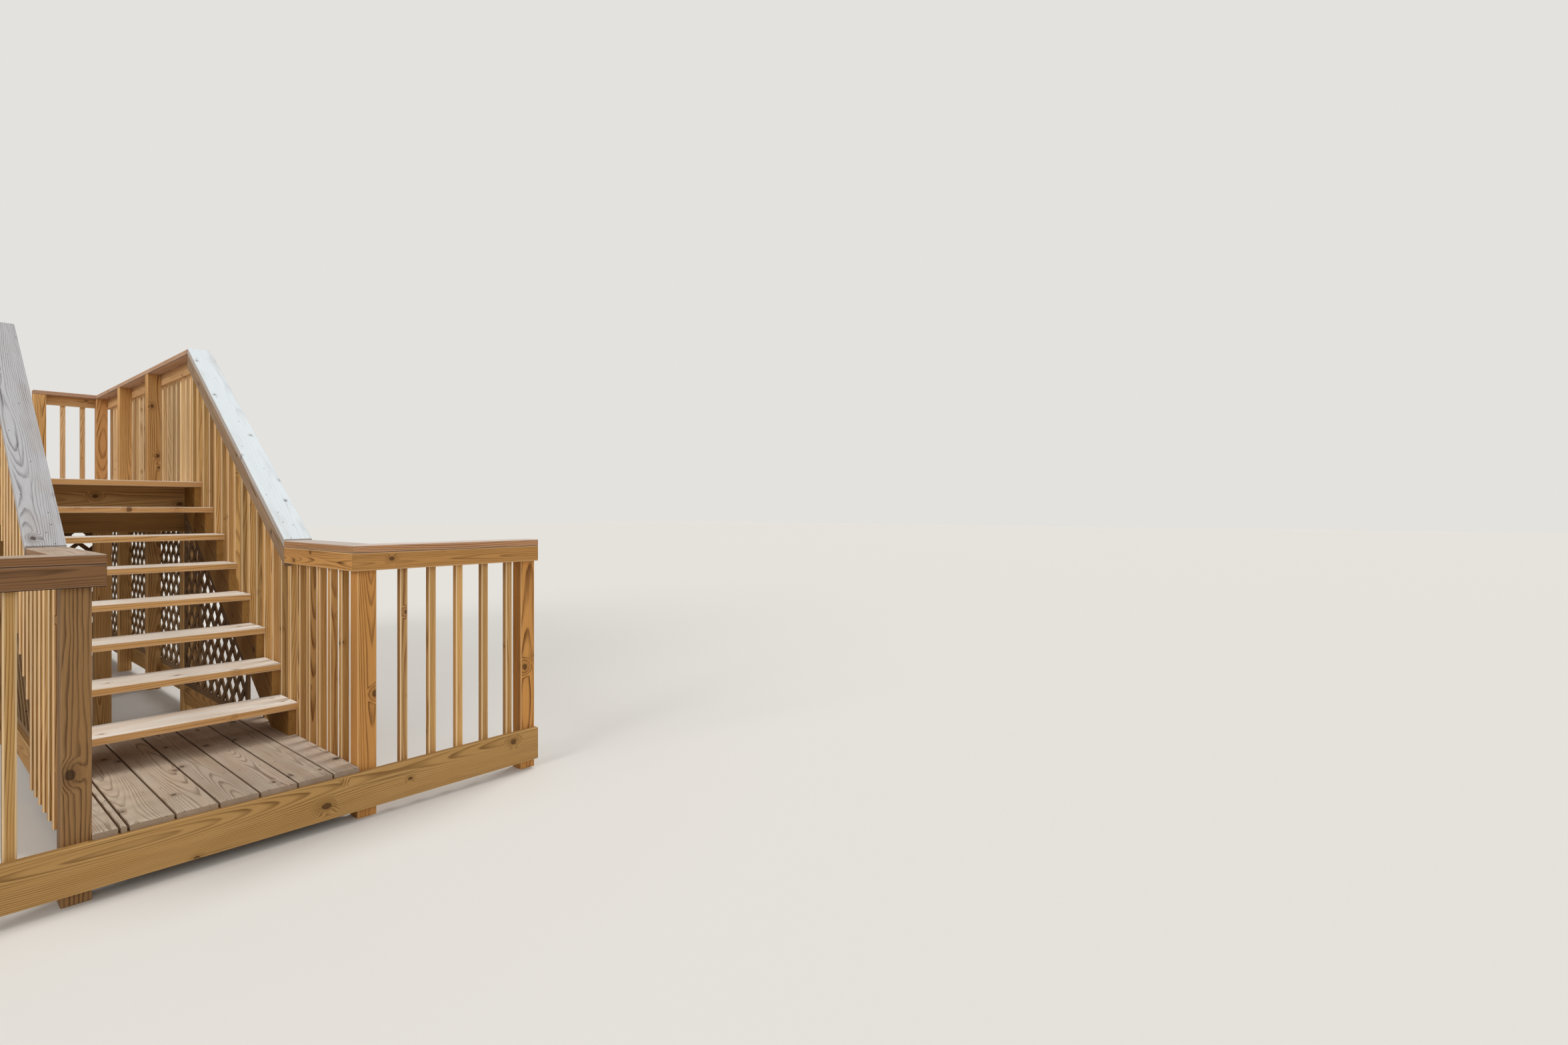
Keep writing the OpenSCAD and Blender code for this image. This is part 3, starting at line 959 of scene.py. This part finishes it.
@dataclass
class LowerBay(Carpentry):
    """The low deck bay that the flight starts on."""

    edge_distance: float = 26 * MM
    narrow: float = 78 * MM
    stray_across: float = 5 * MM
    stray_along: float = 9 * MM

    def build(self) -> None:
        """Dresses the bay's frame and boards and nails the boards to their joists."""
        # The bay's frame is darkened with painted shade.
        shade = Wear(top=0.35, side=0.45, dirt=0.15)
        for node in ("front_rim", "deck_side_rims", "deck_joists", "deck_posts"):
            self.dress(node, Finish.FRAME, "frame_pine", shade)
        self.dress("deck_boards", Finish.DECK, "deck_pine", Wear(top=0.75, side=0.45))
        self.nail("nails_deck_boards", self.board_nails(), "deck_pine")

    def board_nails(self) -> list[Head]:
        """Finds where the boards cross a joist.

        Returns:
            Two heads there for a board of full width, and one for a narrow one.
        """
        luck = random.Random("deck nails")
        rows = [joist.centre.y for joist in self.boards("deck_joists")]
        rows.append(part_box("front_rim")[1].y - self.edge_distance / 2)
        heads = []
        for board in self.boards("deck_boards"):
            across = (board.low.x + self.edge_distance, board.high.x - self.edge_distance)
            if 2 * board.half.x < self.narrow:
                across = (board.centre.x,)
            for y in rows:
                for x in across:
                    aside = luck.uniform(-self.stray_across, self.stray_across)
                    along = luck.uniform(-self.stray_along, self.stray_along)
                    heads.append(Head(Vector((x + aside, y + along, board.high.z)), UP))
        return heads


@dataclass
class Flight(Carpentry):
    """The cut stringers and the open treads between the two guards."""

    tread_n: int = 7
    from_end: float = 19 * MM
    from_edge: float = 45 * MM

    def build(self) -> None:
        """Dresses the stringers and treads and nails each tread down."""
        for side in ("left", "right"):
            # The stringers are darkened with painted shade.
            self.dress(f"stringer_{side}", Finish.FRAME, "frame_pine",
                       Wear(top=0.25, side=0.08, dirt=0.25), Grain.SLOPED)
        heads = []
        for k in range(1, self.tread_n + 1):
            node = f"tread_{k}"
            self.dress(node, Finish.TREAD, "tread_pine", Wear(top=0.85, side=0.05))
            lo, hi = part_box(node)
            for x in (lo.x + self.from_end, hi.x - self.from_end):
                for y in (lo.y + self.from_edge, (lo.y + hi.y) / 2, hi.y - self.from_edge):
                    heads.append(Head(Vector((x, y, hi.z)), UP))
        self.nail("nails_treads", heads, "tread_pine")


@dataclass
class LandingWalk(Carpentry):
    """The long walk at the top of the flight, on its posts and beams."""

    from_edge: float = 26 * MM
    post_knots: tuple[Knot, ...] = (Knot(0.513, 0.9005, 1.991, 12 * MM),)
    header_knots: tuple[Knot, ...] = (Knot(-0.047, -0.2665, 1.622, 13 * MM),)

    def build(self) -> None:
        """Dresses the frame, the posts and the boards, and nails the boards down."""
        # The rims' paler sides are painted light, lifting the header out of the shade under the
        # landing's edge.
        for node in ("landing_end_rims", "landing_side_rims"):
            self.dress(node, Finish.FRAME, "frame_pine", Wear(top=0.4, side=0.7),
                       knots=self.header_knots)
        # Joists and beams under the landing are darkened with painted shade.
        for node in ("landing_joists", "landing_beams"):
            self.dress(node, Finish.FRAME, "frame_pine", Wear(top=0.15, side=0.1, dirt=0.45))
        # The posts' paler sides are partly painted sunlight.
        self.dress("landing_posts", Finish.POST, "frame_pine", Wear(top=0.3, side=0.55),
                   knots=self.post_knots)
        self.dress("landing_boards", Finish.TREAD, "tread_pine", Wear(top=0.8, side=0.05))
        self.nail("nails_landing_boards", self.board_nails(), "tread_pine")

    def board_nails(self) -> list[Head]:
        """Finds where the boards cross a rim, a joist or a stringer.

        Returns:
            Two heads at each place.
        """
        strings, frame_lines = (
            [board.centre.x for node in nodes for board in self.boards(node)]
            for nodes in (
                ("stringer_left", "stringer_right"), ("landing_joists", "landing_side_rims"),
            )
        )
        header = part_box("landing_end_rims")[0].y
        heads = []
        for board in self.boards("landing_boards"):
            for x in strings if board.low.y < header - MM else frame_lines:
                for y in (board.low.y + self.from_edge, board.high.y - self.from_edge):
                    heads.append(Head(Vector((x, y, board.high.z)), UP))
        return heads


@dataclass
class Guards(Carpentry):
    """Posts, balusters, sub-rails and flat caps, level and sloped."""

    cap_nail_step: float = 310 * MM
    cap_nail_in: float = 22 * MM
    stray_along: float = 25 * MM
    stray_across: tuple[float, float] = (-5 * MM, 8 * MM)
    toe: float = 30 * MM
    second_toe: float = 78 * MM
    end_row: tuple[float, ...] = (38 * MM, 196 * MM, 300 * MM)
    end_row_in: float = 38 * MM
    post_knots: tuple[Knot, ...] = (
        Knot(-0.545, -3.2855, 0.505, 17 * MM), Knot(0.562, -3.2855, 0.606, 13 * MM),
        Knot(1.40, -3.2855, 0.60, 15 * MM), Knot(-1.41, -3.2855, 0.82, 13 * MM),
    )
    baluster_knots: tuple[Knot, ...] = (
        Knot(0.715, -3.2855, 0.998, 9 * MM), Knot(0.4825, -2.528, 1.175, 10 * MM),
        Knot(0.4825, -1.398, 1.498, 6 * MM),
    )
    cap_knots: tuple[Knot, ...] = (
        Knot(-0.552, -2.330, 1.395, 12 * MM), Knot(0.552, -1.399, 2.023, 6 * MM),
    )

    def build(self) -> None:
        """Dresses the guards and nails their balusters and caps."""
        self.dress_posts_and_balusters()
        self.dress_rails_and_caps()
        self.nail("nails_caps", self.cap_nails(), "cap_pine")
        self.nail("nails_balusters", self.baluster_nails(), "guard_pine")

    def dress_posts_and_balusters(self) -> None:
        """Dresses what stands upright: warm by the flight, darkened with painted shade by the bay,
        and pale up high, from weather and partly painted sunlight.
        """
        # At the left, the post is darkened with painted shade.
        self.dress("front_posts", (Finish.POST_STREAKED, Finish.POST), "frame_pine",
                   (Wear(top=0.4, side=0.35, dirt=0.15), Wear(top=0.4, side=0.1)),
                   knots=self.post_knots)
        warm = Wear(top=0.4, side=0.12)
        # High up by the landing, the pale sides are partly weathering and partly painted sunlight.
        sun_bleached_and_lit = Wear(top=0.9, side=0.65)
        # By the bay, the return's balusters are darkened with painted shade.
        worn = {
            "front": warm, "return": Wear(top=0.4, side=0.05, dirt=0.25), "slope": warm,
            "landing": sun_bleached_and_lit,
        }
        for part, wear in worn.items():
            for side in ("left", "right"):
                self.dress(f"balusters_{part}_{side}", Finish.BALUSTER, "guard_pine", wear,
                           knots=self.baluster_knots)
        self.dress("balusters_landing_back", Finish.BALUSTER, "guard_pine", sun_bleached_and_lit)

    def dress_rails_and_caps(self) -> None:
        """Dresses what lies on top: the caps, and the sub-rails that they keep dry."""
        # At the left, caps and sub-rails are darkened with painted shade.
        level = Wear(top=0.7, side=0.05, dirt=0.15), Wear(top=0.9, side=0.12)
        covered = Wear(top=0.05, side=0.05, dirt=0.15), Wear(top=0.1, side=0.12)
        for part in ("front", "return"):
            self.dress(f"sub_rails_{part}", (Finish.SHADED, Finish.RAIL), "guard_pine", covered)
            self.dress(f"caps_{part}", (Finish.SHADED, Finish.CAP), "cap_pine", level)
        # The landing's sub-rails are paled on their sides partly by painted sunlight.
        self.dress("sub_rails_landing", Finish.RAIL, "guard_pine", Wear(top=0.1, side=0.65))
        self.dress("sub_rails_slope", Finish.RAIL_GREYED, "guard_pine", Wear(top=0.1, side=0.5),
                   Grain.SLOPED)
        for node in ("caps_landing", "cap_back"):
            self.dress(node, Finish.CAP, "cap_pine", Wear(top=0.9, side=0.3))
        # Painted shade darkens the left sloped cap, and painted sunlight whitens the right one.
        steep = Wear(top=0.95, side=0.6, dirt=0.15), Wear(top=1.0, side=0.35)
        self.dress("caps_slope", (Finish.CAP_GREYED, Finish.CAP_BLEACHED), "cap_pine", steep,
                   Grain.SLOPED, self.cap_knots)

    def cap_nails(self) -> list[Head]:
        """Finds the nails of the caps, over the sub-rail and over the balusters in turn.

        Returns:
            Their heads.
        """
        luck = random.Random("cap nails")
        heads = []
        for node in ("caps_front", "caps_return", "caps_slope", "caps_landing", "cap_back"):
            grain = Grain.SLOPED if node == "caps_slope" else Grain.LONGEST
            for board in self.boards(node, grain):
                heads += self.nails_along(board, luck)
                if grain is Grain.SLOPED:
                    heads += self.end_nails(board)
        return heads

    def end_nails(self, board: Board) -> list[Head]:
        """Sets the close row of nails at the lower end of a sloped cap, near its inner edge.

        Args:
            board: The cap.

        Returns:
            Their heads.
        """
        back = board.turn.inverted()
        inner = board.low.x if board.centre.x > 0 else board.high.x
        x = inner + math.copysign(self.end_row_in, board.centre.x)
        places = [Vector((x, board.low.y + step, board.high.z)) for step in self.end_row]
        return [Head(back @ place, back @ UP) for place in places]

    def nails_along(self, board: Board, luck: random.Random) -> list[Head]:
        """Sets nails in a zigzag along one cap.

        Args:
            board: The cap.
            luck: Where each nail strays to.

        Returns:
            Their heads.
        """
        run = 0 if board.half.x > board.half.y else 1
        wide = 1 - run
        length = 2 * board.half[run]
        count = max(2, round(length / self.cap_nail_step))
        back = board.turn.inverted()
        heads = []
        for i in range(count):
            place = Vector((0.0, 0.0, board.high.z))
            stray = luck.uniform(-self.stray_along, self.stray_along)
            place[run] = board.low[run] + (i + 0.5) * length / count + stray
            inset = self.cap_nail_in + luck.uniform(*self.stray_across)
            place[wide] = board.low[wide] + inset if i % 2 else board.centre[wide] + inset / 2
            heads.append(Head(back @ place, back @ UP))
        return heads

    def baluster_nails(self) -> list[Head]:
        """Finds the nails of all the balusters, on their outer faces.

        Returns:
            Their heads.
        """
        heads = []
        for part in ("front", "return", "slope", "landing"):
            for side, sign in (("left", -1), ("right", 1)):
                facing = Vector((0, 1, 0)) if part == "front" else Vector((sign, 0, 0))
                for baluster in self.boards(f"balusters_{part}_{side}"):
                    heads += self.nails_in(baluster, facing)
        for baluster in self.boards("balusters_landing_back"):
            heads += self.nails_in(baluster, Vector((0, 1, 0)))
        return heads

    def nails_in(self, baluster: Board, facing: Vector) -> list[Head]:
        """Sets two nails at the top and two at the bottom of one baluster.

        Args:
            baluster: The baluster.
            facing: The way that its outer face looks.

        Returns:
            Their heads.
        """
        face = baluster.centre + facing * baluster.half
        low, high = baluster.low.z, baluster.high.z - self.toe / 2
        drops = (self.toe, self.second_toe)
        heights = [high - drop for drop in drops] + [low + drop for drop in drops]
        return [Head(Vector((face.x, face.y, z)), facing) for z in heights]


@dataclass
class Skirt(Carpentry):
    """The lattice panels that close the space under the stair, and their bottom boards."""

    def build(self) -> None:
        """Dresses the panels and the boards."""
        for part in ("stair_left", "stair_right", "left", "right", "back"):
            self.dress(f"lattice_{part}", Finish.LATTICE, "lattice_pine",
                       Wear(top=0.3, side=0.2, dirt=0.2), Grain.SLANTED)
        self.dress("skirt_boards", Finish.FRAME, "frame_pine", Wear(top=0.3, side=0.2, dirt=0.3))


@dataclass(frozen=True)
class Lamp:
    """A far, wide lamp, which lights every place alike.

    It shines from a direction, and the wider it looks, the softer its shadows are.
    """

    name: str
    source: Triple
    spread_deg: float
    strength: float

    def build(self) -> None:
        """Adds the lamp."""
        data = bpy.data.lights.new(self.name, "SUN")
        data.angle = math.radians(self.spread_deg)
        data.energy = self.strength
        lamp = put(self.name, data)
        lamp.rotation_mode = "QUATERNION"
        lamp.rotation_quaternion = Vector(self.source).to_track_quat("Z", "Y")


@dataclass
class Studio:
    """The pale floor, the soft lamps and the camera."""

    lamps: tuple[Lamp, ...] = (
        Lamp("key", (0.5, 0.1, 0.86), spread_deg=22.0, strength=1.35),
        Lamp("side", (-0.9, -0.05, 0.42), spread_deg=30.0, strength=1.5),
        Lamp("front", (-0.05, -0.9, 0.43), spread_deg=40.0, strength=0.7),
    )
    floor_m: float = 140.0
    floor_colour: str = "#DCD9D3"
    backdrop_colour: str = "#E4E2DE"
    sky_strength: float = 0.42
    focal_px: float = 1102.7
    sensor_mm: float = 36.0
    heading_deg: float = 51.17
    horizon_up_px: float = 18.6
    eye_height: float = 1.527
    eye_left: float = 1.0267
    eye_before_edge: float = 3.882

    def build(self) -> None:
        """Makes the floor, the light and the camera."""
        self.floor()
        self.sky()
        for lamp in self.lamps:
            lamp.build()
        self.camera()
        LOG.info("studio: floor, sky, %d lamps and the camera", len(self.lamps))

    def floor(self) -> None:
        """A matt pale floor that isn't part of the object."""
        mesh = bpy.data.meshes.new("studio_floor")
        half = self.floor_m / 2
        corners = [(-half, -half, 0), (half, -half, 0), (half, half, 0), (-half, half, 0)]
        mesh.from_pydata(corners, [], [(0, 1, 2, 3)])
        material = bpy.data.materials.new("studio_paint")
        add = Nodes(material).add
        shader = add("BsdfPrincipled", {
            "Base Color": linear(self.floor_colour), "Roughness": 0.9, "Specular IOR Level": 0.1,
        })
        add("OutputMaterial", {"Surface": shader})
        mesh.materials.append(material)
        plane = put("studio_floor", mesh)

    def sky(self) -> None:
        """Even light from all round, and a pale backdrop for what the camera sees."""
        world = bpy.data.worlds.new("studio_sky")
        bpy.context.scene.world = world
        add = Nodes(world).add
        light = add("Background", {"Color": linear("#FFFFFF"), "Strength": self.sky_strength})
        seen = add("Background", {"Color": linear(self.backdrop_colour), "Strength": 1.0})
        path = add("LightPath", out="Is Camera Ray")
        glossy = path.node.outputs["Is Glossy Ray"]
        shown = add("Math", {0: path, 1: glossy}, operation="MAXIMUM")
        mixed = add("MixShader", {0: shown, 1: light, 2: seen})
        add("OutputWorld", {"Surface": mixed})

    def camera(self) -> None:
        """A level camera at eye height before the deck's edge, as the photograph was taken."""
        data = bpy.data.cameras.new("camera")
        data.sensor_width = self.sensor_mm
        data.lens = self.sensor_mm * self.focal_px / PHOTO_WIDTH_PX
        data.shift_y = -self.horizon_up_px / PHOTO_WIDTH_PX
        data.clip_start = 0.02
        data.clip_end = 200.0
        camera = put("camera", data)
        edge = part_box("front_rim")[0].y
        camera.location = (-self.eye_left, edge - self.eye_before_edge, self.eye_height)
        camera.rotation_euler = (math.pi / 2, 0.0, -math.radians(self.heading_deg))
        bpy.context.scene.camera = camera


def main() -> None:
    """Dresses the stair and sets the studio round it."""
    logging.basicConfig(level=logging.INFO, format="%(message)s")
    bpy.context.scene.view_settings.view_transform = "Standard"
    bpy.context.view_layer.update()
    finishes = {finish: finish.value.build() for finish in Finish}
    for part in (LowerBay, Flight, LandingWalk, Guards, Skirt):
        part(finishes).build()
    Studio().build()


if __name__ == "__main__":
    main()
